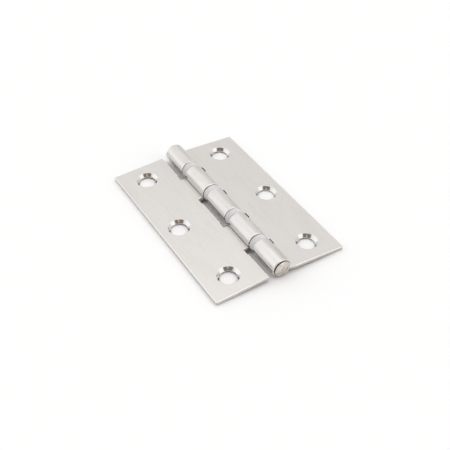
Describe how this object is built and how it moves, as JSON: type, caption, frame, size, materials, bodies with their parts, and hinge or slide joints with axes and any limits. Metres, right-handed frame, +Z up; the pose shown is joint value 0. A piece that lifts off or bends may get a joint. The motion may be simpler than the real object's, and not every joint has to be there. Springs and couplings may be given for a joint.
{
  "type": "door hinge",
  "caption": "Washered butt hinge for a light door: flat leaves with countersunk screw holes, rolled knuckles, loose washers and a fixed pin.",
  "frame": {"origin": "on the table, under the middle of the pin, at the bottom centre of the bounding box", "axes": "+Y along the pin towards the far end, +X across the leaf with three knuckles, +Z up, out of the countersunk faces"},
  "size_m": [0.0522, 0.0772, 0.0073],
  "materials": {
    "leaf_steel": "satin stainless, brushed along the pin",
    "washer_nylon": "pale cool grey nylon, matte, with faint turning marks",
    "pin_steel": "peened stainless, hammered facets, slightly warm"
  },
  "bodies": {
    "right_leaf": {"right_leaf": "leaf_steel", "hinge_pin": "pin_steel"},
    "left_leaf": {"left_leaf": "leaf_steel"},
    "washer_1": {"washer_1": "washer_nylon"},
    "washer_2": {"washer_2": "washer_nylon"},
    "washer_3": {"washer_3": "washer_nylon"},
    "washer_4": {"washer_4": "washer_nylon"}
  },
  "joints": [
    {"name": "leaf_swing", "type": "hinge", "parent": "right_leaf", "child": "left_leaf", "pos_m": [0, 0, 0.00365], "axis": [0, 1, 0], "range_deg": [-114, 186]},
    {"name": "washer_1_turn", "type": "hinge", "parent": "right_leaf", "child": "washer_1", "pos_m": [0, -0.02368, 0.00365], "axis": [0, 1, 0], "continuous": true},
    {"name": "washer_2_turn", "type": "hinge", "parent": "right_leaf", "child": "washer_2", "pos_m": [0, -0.00767, 0.00365], "axis": [0, 1, 0], "continuous": true},
    {"name": "washer_3_turn", "type": "hinge", "parent": "right_leaf", "child": "washer_3", "pos_m": [0, 0.00767, 0.00365], "axis": [0, 1, 0], "continuous": true},
    {"name": "washer_4_turn", "type": "hinge", "parent": "right_leaf", "child": "washer_4", "pos_m": [0, 0.02368, 0.00365], "axis": [0, 1, 0], "continuous": true}
  ]
}
